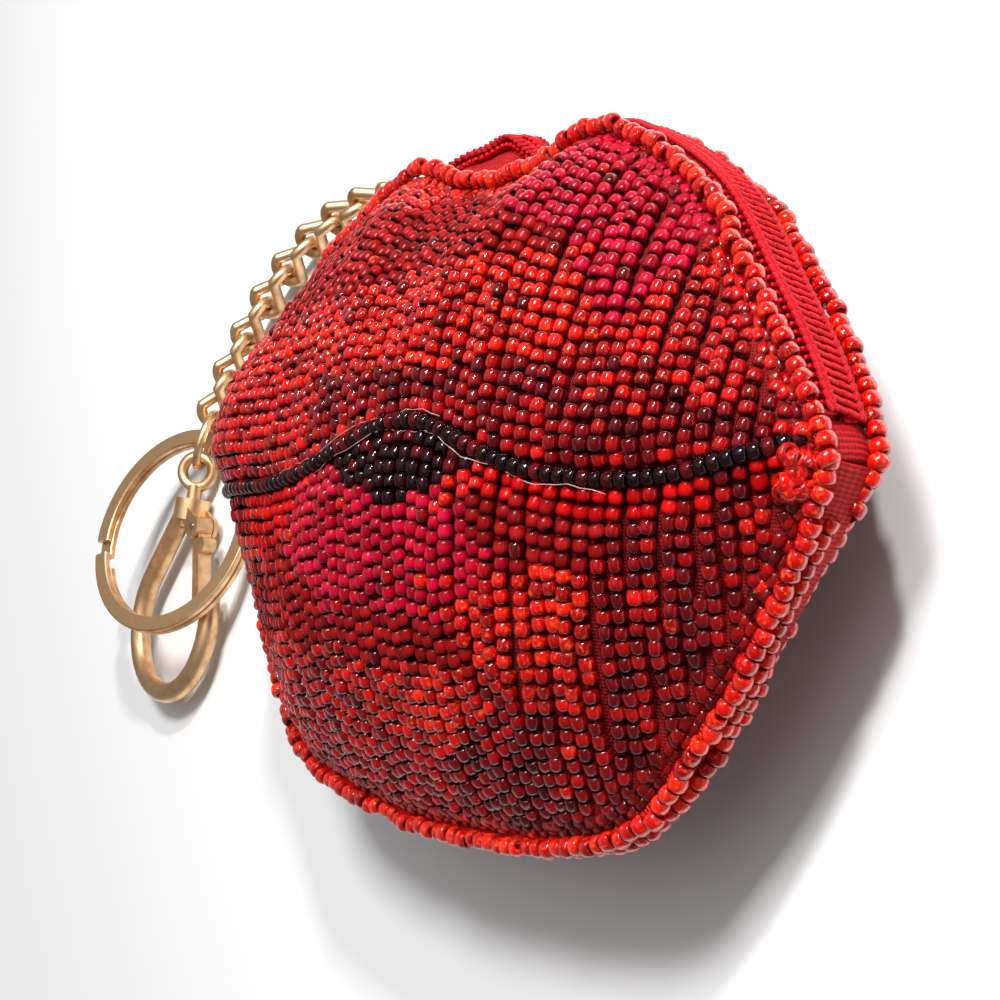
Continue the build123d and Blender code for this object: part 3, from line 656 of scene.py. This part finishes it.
# ---- beads of the two panels, in columns ----
# Each zone is a soft blob: middle x and y, half sizes, bead colour, weight.
zones = [
    (-13, 34, 7, 4, "orange", 1), (9, 33, 8, 4, "orange", 1), (20, 31, 9, 6, "magenta", 1),
    (33, 23, 6, 8, "magenta", 0.95), (-8, 25, 24, 5.5, "brick", 1.05), (-10, 27, 9, 3, "garnet", 0.75),
    (-33, 20, 9, 4, "brick", 0.9), (33, 22, 3, 5, "brick", 0.8), (8, 14, 20, 6.5, "orange", 0.95),
    (-38, 12, 14, 6, "orange", 0.8), (43, 14, 8, 9, "red", 1), (16, 4, 30, 5, "garnet", 0.85),
    (-45, 2, 9, 8, "red", 0.9), (-25, 4, 14, 6, "red", 0.95),
    (2, -12, 20, 6.5, "magenta", 1), (-16, -17, 8, 6, "brick", 0.9), (6, -22, 10, 3.5, "brick", 1),
    (28, -9, 9, 4, "brick", 0.85), (-2, -30, 20, 7, "red", 0.9), (8, -28, 9, 5, "orange", 1),
    (27, -18, 8, 6, "orange", 0.9), (43, -18, 9, 17, "garnet", 1), (22, -34, 13, 6, "garnet", 0.95),
    (-27, -30, 10, 8, "red", 1), (-43, -15, 10, 10, "red", 0.85), (-38, -8, 6, 5, "brick", 0.8),
    (-22, -8, 8, 4, "ruby", 0.9), (-30, -20, 7, 5, "brick", 0.8), (-50, -6, 5, 8, "ruby", 0.8),
]
zone_x, zone_y, zone_w, zone_h = (np.array([z[k] for z in zones], float) for k in range(4))
zone_weight = np.array([z[5] for z in zones])


def bead_colour(x, y, side_name):
    """Colour name of a bead: the dark patch and the rows along the mouth first, then the strongest zone."""
    if side_name == "front":
        under = float(mouth_y(np.array([x]))[0]) - y
        # the dark patch hangs under the hump of the mouth line and is round below
        if under > 0 and -11 < x < 23 and y > -6.4 + 0.028 * (x - 8) ** 2:
            return "black"
        if 0 < under < 3.6 and x > 21 and rng.random() < 0.85:
            return "ruby"
        if -2.2 < under < 0:
            return "garnet" if rng.random() < (0.65 if x > -12 else 0.3) else "red"
    pull = zone_weight * np.exp(-((x - zone_x) / zone_w) ** 2 - ((y - zone_y) / zone_h) ** 2)
    pull += rng.random(len(pull)) * 0.10 * (pull > 0.05)
    best = int(np.argmax(pull))
    if pull[best] < 0.2:
        return "red"
    if rng.random() < 0.07:
        return ("red", "orange", "garnet")[int(rng.integers(3))]
    return zones[best][4]


row_pitch, column_pitch, bead_r, bead_half = 1.70, 1.86, 0.84, 1.03
column_reach, shortest_column, parting, fill_length = 48, 12, 1.5, 40
edge_row_pitch, edge_row_shares = 1.78, (0.985, 0.9985)


def lay_column(side_name, x, y):
    """Beads threaded along one path over a panel."""
    line = np.stack([x, y, heights[side_name](x, y)], 1)
    run_y = np.concatenate([[0], np.cumsum(np.linalg.norm(np.diff(line, axis=0), axis=1))])
    at, places, beads = 0.3 * rng.random(), [], []
    while at < run_y[-1]:
        places.append(at)
        at += row_pitch * (1 + 0.05 * rng.standard_normal())
    places = np.array(places)

    def at_run(run):
        return np.interp(run, run_y, x), np.interp(run, run_y, y)

    bx, by = at_run(places)
    skin, normal = surface(side_name, bx, by)
    axis = surface(side_name, *at_run(places + 0.2))[0] - surface(side_name, *at_run(places - 0.2))[0]
    for k in range(len(places)):
        if np.linalg.norm(axis[k]) < 0.05:
            continue
        size = bead_r * (1 + 0.05 * rng.standard_normal())
        centre = skin[k] - normal[k] * (size + 0.02) + rng.normal(0, 0.07, 3)
        centre = centre + normal[k] * abs(rng.normal(0, 0.12))
        beads.append((centre, axis[k], normal[k], size, bead_half * (1 + 0.06 * rng.standard_normal()),
                      bead_colour(bx[k], by[k], side_name)))
    return beads


def panel_beads(side_name):
    """Columns of beads from the mouth line out to the edges, and the edge rows.

    Each bead is (centre, axis, normal, radius, half length, colour)."""
    height = heights[side_name]
    line_x = np.arange(-54.5, 54.5, 0.1)
    line_z = height(line_x, np.full_like(line_x, -1.0))
    run = np.concatenate([[0], np.cumsum(np.hypot(np.diff(line_x), np.diff(line_z)))])
    columns = [(c, rng.random() * 2 * pi, 0.22 + 0.2 * rng.random())
               for c in np.interp(np.arange(run[-1] % column_pitch / 2, run[-1], column_pitch), run, line_x)]

    def column_x(column, y):
        middle, phase, wander = column
        return middle * (1 - 0.035 * (y / 30) ** 2) + wander * np.sin(y / 7.0 + phase) * smooth(np.abs(y) / 8)

    def inside(x, y):
        return np.hypot(x, y) / edge_radius(np.arctan2(y, x), side_name) < 0.986

    beads = []
    for way in (1, -1):
        before = None
        for column in columns:
            if side_name == "front":
                start = float(mouth_y(np.array([column[0]]))[0]) + way * 1.5
            else:
                start = way * row_pitch / 2 - 2.0
            y = start + way * np.arange(0, column_reach, 0.05)
            x = column_x(column, y)
            on = inside(x, y)
            stop = len(y) if on.all() else int(np.argmin(on))
            if stop >= shortest_column:
                beads += lay_column(side_name, x[:stop], y[:stop])
            if before is not None:
                # where the panel is so steep that two columns part, one more is threaded between them
                x_before = column_x(before, y)
                apart = np.hypot(x - x_before, height(x, y) - height(x_before, y))
                between = (x + x_before) / 2
                wide = (apart > parting * column_pitch) & inside(between, y)
                edges = np.flatnonzero(np.diff(np.concatenate([[0], wide.astype(int), [0]])))
                for first, last in zip(edges[::2], edges[1::2]):
                    if last - first > fill_length:
                        beads += lay_column(side_name, between[first:last], y[first:last])
            before = column
    return beads + edge_rows(side_name)


def edge_rows(side_name):
    """Rows of beads round the panel just inside its edge piping, covering the ends of the columns."""
    beads = []
    turn = np.linspace(0, 2 * pi, 1600, endpoint=False)
    for share in edge_row_shares:
        rim = edge_radius(turn, side_name) * share
        skin, normal = surface(side_name, rim * np.cos(turn), rim * np.sin(turn))
        spots, _ = even(np.column_stack([skin, normal]), edge_row_pitch)
        axes = np.gradient(spots[:, :3], axis=0)
        for spot, axis in zip(spots, axes):
            size = bead_r * (1 + 0.06 * rng.standard_normal())
            centre = spot[:3] - spot[3:] * (size - 0.1) + rng.normal(0, 0.09, 3)
            colour = bead_colour(spot[0], spot[1], side_name)
            beads.append((centre, axis, spot[3:], size, bead_half * (1 + 0.06 * rng.standard_normal()),
                          "red" if colour == "black" else colour))
    return beads


beaded_nodes = {"front": ("upper_lip_beaded_panel", "lower_lip_beaded_panel"), "back": ("back_beaded_panel",)}
for side_name, nodes in beaded_nodes.items():
    beads = panel_beads(side_name)
    for colour, m in glasses.items():
        chosen = [b for b in beads if b[5] == colour]
        if not chosen:
            continue
        measures = [np.array([bead[k] for bead in chosen]) for k in range(5)]
        piece = string(f"{side_name}_beads_{colour}", *measures, m)
        attach(piece, "beaded_cloth", *nodes, fold=folds[side_name])


# ---- edge piping ----
piping_pitch, piping_r, piping_half = 1.66, 1.02, 1.08
seam_pitch, seam_r, seam_half, seam_y = 1.62, 0.95, 1.04, (-27, -5.5)


def edge_frame(upper, step, inset=0.0, lift=0.0, left=1.0):
    """Even points on an edge with the direction along it, the outward direction and the distance along it."""
    points, at = even(edge_line(0.0, upper, lift, left), step)
    ahead = unit_rows(np.gradient(points, axis=0))
    out = np.stack([ahead[:, 1], -ahead[:, 0]], 1) * (1 if upper else -1)
    return points - inset * out, ahead, out, at


def piping(name, upper, front, node):
    """A strand of larger beads sewn along one edge of the cloth."""
    lift, sign = (0.0, 1) if front else (1.0, -1)
    points, ahead, out, _ = edge_frame(upper, piping_pitch, -0.05, lift)
    z = mid_z + sign * half_gap(points[:, 1] - lift * back_raise(points[:, 0], points[:, 1]))
    count = len(points)
    sway = rng.normal(0, 0.17, (count, 2))
    centres = np.column_stack([points + out * sway[:, :1], z + sway[:, 1]])
    axes = np.column_stack([ahead, np.gradient(z) * 0.6])
    normals = np.column_stack([out * 0.7, np.full(count, 0.7 * sign)])
    piece = string(name, centres, axes, normals, piping_r * (1 + 0.05 * rng.standard_normal(count)),
                   piping_half * (1 + 0.05 * rng.standard_normal(count)), edge_glass, fine_form, 0.16)
    attach(piece, "edge_beads", node, fold=mouth_fold if front else None)


def seam_strand():
    """A third strand between the front and back piping, from under the right corner to the bottom bend."""
    points, ahead, out, _ = edge_frame(False, seam_pitch, -0.3, 0.5)
    low = (points[:, 1] < seam_y[1]) & (points[:, 1] > seam_y[0]) & (points[:, 0] > 0)
    points, ahead, out = points[low], ahead[low], out[low]
    count = len(points)
    centres = np.column_stack([points + out * rng.normal(0, 0.1, (count, 1)),
                               mid_z + rng.normal(0, 0.12, count)])
    piece = string("seam_strand", centres, np.column_stack([ahead, np.zeros(count)]),
                   np.column_stack([out, np.zeros(count)]), seam_r, seam_half,
                   edge_glass, fine_form, 0.14)
    attach(piece, "edge_beads")


seam_strand()
piping("piping_front_upper", True, True, "upper_lip_edge_piping")
piping("piping_front_lower", False, True, "lower_lip_edge_piping")
piping("piping_back_upper", True, False, "back_upper_edge_piping")
piping("piping_back_lower", False, False, "back_lower_edge_piping")

# ---- the knot of larger beads that covers the right mouth corner ----
knot_count, knot_r, knot_half = 16, 1.08, 1.12
knot_y = rng.uniform(-3.4, 3.6, knot_count)
knot_x = half_width - 1.3 - 0.10 * knot_y ** 2 - rng.uniform(0.0, 2.2, knot_count)
knot_z = front_z(knot_x, knot_y) + rng.uniform(0.0, 0.7, knot_count)
knot = string("corner_knot", np.column_stack([knot_x, knot_y, knot_z]),
              rng.normal(0, 1, (knot_count, 3)) + (0.0, 0.6, 0.2), np.tile((0.7, 0.1, 0.7), (knot_count, 1)),
              knot_r, knot_half, edge_glass, fine_form, 0.2)
attach(knot, "edge_beads", fold=mouth_fold)

# ---- mouth line: dark beads on the fold between the lips ----
strand_pitch, strand_r, nylon_r = 1.42, 0.93, 0.05
mouth_x = np.arange(-53.0, 53.2, 0.1)
skin, normal = surface("front", mouth_x, mouth_y(mouth_x))
strand, strand_run = even(np.column_stack([skin - normal * 0.15, normal]), strand_pitch)
strand_at, strand_n = strand[:, :3], strand[:, 3:]
strand_axes = np.gradient(strand_at, axis=0)
mouth_strand = string("mouth_strand", strand_at, strand_axes, strand_n,
                      strand_r * (1 + 0.04 * rng.standard_normal(len(strand_at))), strand_r,
                      glasses["black"], fine_form, 0.09)
attach(mouth_strand, "dark_beads", "mouth_line_beads", fold=mouth_fold)

# ---- clear nylon thread couched along both sides of the strand ----
threads = []
for flank, wave, first, last in ((1, 0.9, 26, 52), (-1, 1.3, 34, 68)):
    sway = flank * 1.02 + 0.28 * np.sin(strand_run * wave * 0.5 + flank) + 0.1 * np.sin(strand_run * 2.1)
    lift_off = 0.35 + 0.3 * np.sin(strand_run * 0.37 + flank)
    line = strand_at + strand_n * lift_off[:, None] + np.outer(sway, (0, 1, 0))
    threads.append(tube(line[first:last], nylon_r))
attach(mesh_object("mouth_threads", *joined(threads), nylon_thread), "beaded_cloth", fold=mouth_fold)

# ---- zip: tapes, coil, sewing lines and end patches ----
zip_start, coil_begin, dip_proud, rib_pitch = 3.0, 4.0, 4.2, 0.62
zip_points, _, zip_out, zip_at = edge_frame(True, 0.35, left=0.0)
on_zip = np.flatnonzero(zip_points[:, 1] > zip_start)


def zip_shape(p):
    """How far the back edge is lifted at zip points, and how far the coil stands proud there."""
    proud = 0.5 * smooth((p[:, 0] + 17) / 20) + 0.2 * smooth((p[:, 1] - 22) / 8)
    proud += dip_proud * np.exp(-((p[:, 0] + 4) / 6.5) ** 2) * smooth((p[:, 1] - 15) / 6)
    return back_raise(p[:, 0], p[:, 1]), proud


zip_lift, zip_proud = zip_shape(zip_points)


def across_zip(index, inset, z, reach=3.0):
    """A point of the zip: inset from the piping's middle, z from the zip's middle plane."""
    p = zip_points[index] - (inset - zip_proud[index] * max(0.0, 1 - (z / reach) ** 2)) * zip_out[index]
    return (p[0], p[1] + zip_lift[index] * (0.5 - 0.5 * np.clip(z / reach, -1, 1)), mid_z + z)


# The front half of the zip leaves the purse where the open slider stands, between these places in metres.
zip_fold = ((-0.047, 0.013, 0.017), (-0.038, 0.022, 0.017))
zip_halves = (("front", 1, zip_fold), ("back", -1, None))
tape_columns, tape_depth = 26, 0.5
for word, sign, fold in zip_halves:
    nodes = ("zip_tape_front", "zip_tape_front_end") if fold else ("zip_tape_back",)
    stations, across = [], []
    for index in on_zip:
        reach = float(half_gap(zip_points[index, 1])) - 0.15
        t = np.linspace(0, 1, tape_columns)
        z = 0.4 + t * (reach - 0.4)
        groove = 0.75 * np.exp(-((z - 2.95) / 0.42) ** 2) * smooth((reach - 3.2) / 1.5)
        rib = 0.06 * np.sin(zip_at[index] * 2 * pi / rib_pitch)
        inset = 1.25 + groove - 0.45 * smooth((z - 3.2) / 1.2) * smooth((reach - 3.6) / 1.5) + rib
        outer_side = [across_zip(index, inset[k], sign * z[k], reach) for k in range(tape_columns)]
        inner_side = [across_zip(index, inset[k] + tape_depth, sign * z[k], reach)
                      for k in range(tape_columns - 1, -1, -1)]
        stations.append(outer_side + inner_side)
        across.append([*z, *z[::-1]])
    attach(woven(f"zip_tape_{word}_cloth", stations, zip_at[on_zip], across, tape_cloth),
           "zip_tape", *nodes, fold=fold)

coil_pitch = 1.05
coil_frame = edge_frame(True, coil_pitch / 2, left=0.0)[:3]
coil_on = np.flatnonzero(coil_frame[0][:, 1] > coil_begin)
for word, sign, fold in zip_halves:
    nodes = ("zip_coil_front", "zip_coil_front_end") if fold else ("zip_coil_back",)
    teeth = coil_on[coil_on % 2 == (0 if fold else 1)]
    p, a, o = (values[teeth] for values in coil_frame)
    lift, proud = zip_shape(p)
    p = p + o * (proud * 0.92)[:, None] + np.stack([np.zeros(len(p)), lift * (0.5 - 0.1 * sign)], 1)
    outward = np.column_stack([o, np.zeros(len(p))])

    def laid(height, z, axes, radius, length):
        """Bars over the coil: how far out and from the middle plane, their direction and their size."""
        at = np.column_stack([p + height * o, np.full(len(p), mid_z + sign * z)])
        return place_forms(bar_form, at, np.column_stack(axes), outward, radius, length)

    level = np.ones(len(p))
    bars = laid(0.02, 0.95, [a * 0.22, level], 0.34, 1.3)
    under = laid(-0.85, 1.3, [-a * 0.22, level], 0.36, 1.1)
    stitches = [laid(height, z_line, [a, 0.35 * sign * level], 0.27, 0.66)
                for z_line, height in ((1.75, 0.26), (2.25, 0.08))]
    coil = mesh_object(f"zip_coil_{word}_teeth", *joined([bars, under]), coil_nylon)
    sewing = mesh_object(f"zip_sewing_{word}", *joined(stitches), thread_red)
    attach(coil, "zip_coil", *nodes, fold=fold)
    attach(sewing, "zip_tape", fold=fold)

for sign, word in ((1, "right"), (-1, "left")):
    stations, across = [], []
    near = np.flatnonzero((zip_points[:, 1] > 0) & (zip_points[:, 1] < 4.2) & (zip_points[:, 0] * sign > 0))
    angle = np.linspace(0, 2 * pi, 28, endpoint=False)
    for index in near:
        y = zip_points[index, 1]
        reach = float(half_gap(y)) + 0.1
        end_taper = sqrt(max(0.05, 1 - ((y - 2.1) / 2.15) ** 2))
        stations.append([across_zip(index, 1.35 - 0.75 * end_taper * np.sign(cos(t)) * abs(cos(t)) ** 0.7,
                                    reach * np.sign(sin(t)) * abs(sin(t)) ** 0.7) for t in angle])
        across.append([reach * sin(t) for t in angle])
    patch = woven(f"zip_end_{word}_cloth", stations, zip_at[near], across, tape_cloth)
    attach(patch, "zip_tape", f"zip_end_patch_{word}")

# ---- seam allowance inside the lower edge ----
seam_points, _, seam_out, seam_at = edge_frame(False, 0.7)
seam_fold = ((1.2, 1.0), (2.8, 0.8), (4.4, 0.9), (4.6, 0.3),
             (4.6, -0.3), (4.4, -0.9), (2.8, -0.8), (1.2, -1.0))
stations, across = [], []
for p, out, run in zip(seam_points, seam_out, seam_at):
    ripple = 0.12 * sin(run * 1.1)
    section = [(0.3, 0.95), *((inset, z + ripple) for inset, z in seam_fold), (0.3, -0.95), (0.15, 0.0)]
    fill = max(1.0, float(half_gap(p[1])) - 0.15)
    stations.append([(*(p - inset * out), mid_z + z * fill) for inset, z in section])
    across.append([z for _, z in section])
seam = woven("seam_allowance_cloth", stations, seam_at, across, tab_cloth)
attach(seam, "zip_tape", "bottom_seam_allowance")

# ---- hang tab: a folded ribbon round the D-ring's bar ----
tab_angle, tab_width, chain_z, bar_out = radians(122.0), 6.0, 3.6, 1.6
fold_r, ribbon_half = 1.32, 0.3
tab_edge = np.array([-slope[0] + slope_r * cos(tab_angle), slope[1] + slope_r * sin(tab_angle)])
tab_out = np.array([cos(tab_angle), sin(tab_angle)])
tab_side = np.array([-tab_out[1], tab_out[0]])
ribbon = [(-6.4, 5.0), (-4.2, 4.75), (-2.2, 4.45), (-0.6, 4.25)]
ribbon += [(bar_out + fold_r * cos(a), chain_z + fold_r * sin(a))
           for a in np.linspace(radians(140), radians(-140), 26)]
ribbon += [(-0.8, 3.1), (-2.2, 3.5), (-4.2, 4.0), (-6.4, 4.3)]
ribbon, ribbon_run = even(np.array(ribbon), 0.3)
ribbon_dir = unit_rows(np.gradient(ribbon, axis=0))
stations = []
widths = np.linspace(-tab_width / 2, tab_width / 2, 15)
both_faces = np.concatenate([widths, widths[::-1]])
for spot, way in zip(ribbon, ribbon_dir):
    up = np.array([way[1], -way[0]]) * ribbon_half
    section = []
    for k, w in enumerate(both_faces):
        thick = (1 if k < len(widths) else -1) * (1.0 if abs(w) < tab_width / 2 - 0.2 else 0.55)
        r, z = spot + up * thick
        section.append((*(tab_edge + tab_out * r + tab_side * w), z))
    stations.append(section)
tab = woven("hang_tab_ribbon", stations, ribbon_run, [both_faces] * len(ribbon), tab_cloth)
attach(tab, "zip_tape", "hang_tab")

# ---- metal: the CAD's own shapes with antique gold ----
for node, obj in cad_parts.items():
    if obj.hide_render:
        continue
    steel = "spring" in node or "pin" in node
    obj.data.materials.clear()
    obj.data.materials.append(spring_metal if steel else zip_gold if node.startswith("zip_") else antique)
    obj.data.polygons.foreach_set("use_smooth", np.ones(len(obj.data.polygons), bool))

# ---- floor and light ----
floor_half, floor_cells, floor_z = 1500, 8, -0.05
paint = Nodes("floor", Roughness=0.9)
paint.link(paint.ramp(paint.noise(paint.place(1.0), 3.0),
                      [(0.3, srgb(0.86, 0.86, 0.86)), (0.7, srgb(0.875, 0.875, 0.875))]), "Base Color")
floor_line = np.linspace(-floor_half, floor_half, floor_cells + 1)
fx, fy = np.meshgrid(floor_line, floor_line, indexing="ij")
grid = np.arange(fx.size).reshape(fx.shape)
floor_faces = np.stack([grid[:-1, :-1], grid[1:, :-1], grid[1:, 1:], grid[:-1, 1:]], 2).reshape(-1, 4)
floor_points = np.column_stack([fx.ravel(), fy.ravel(), np.full(fx.size, floor_z)])
floor = mesh_object("floor", floor_points, floor_faces, paint.m)


def lamp(name, towards, distance, size, power):
    """A soft white square lamp that faces the purse, with its distance and size in metres."""
    data = bpy.data.lights.new(name, "AREA")
    data.energy, data.size = power, size
    obj = bpy.data.objects.new(name, data)
    bpy.context.collection.objects.link(obj)
    way = Vector(towards).normalized()
    obj.location = way * distance + Vector((0, 0, mid_z * MM))
    obj.rotation_euler = way.to_track_quat("Z", "Y").to_euler()


back_v, up_v, right_v = Vector(camera_back), Vector(camera_up), Vector(camera_right)
lamp("key", back_v * 0.65 + up_v * 0.6 - right_v * 0.35, 0.55, 0.13, 3.5)
lamp("spark", back_v * 0.6 + up_v * 0.75 - right_v * 0.1, 0.5, 0.03, 2.0)
lamp("fill", back_v * 0.8 + up_v * 0.1 + right_v * 0.9, 0.7, 0.4, 1.7)
lamp("top", (0.2, 0.3, 1.0), 0.9, 1.0, 2.3)
world = bpy.data.worlds.new("world")
world.use_nodes = True
sky = world.node_tree.nodes["Background"].inputs
sky["Color"].default_value = (1, 1, 1, 1)
sky["Strength"].default_value = 0.25
bpy.context.scene.world = world
bpy.context.scene.view_settings.view_transform = "Standard"
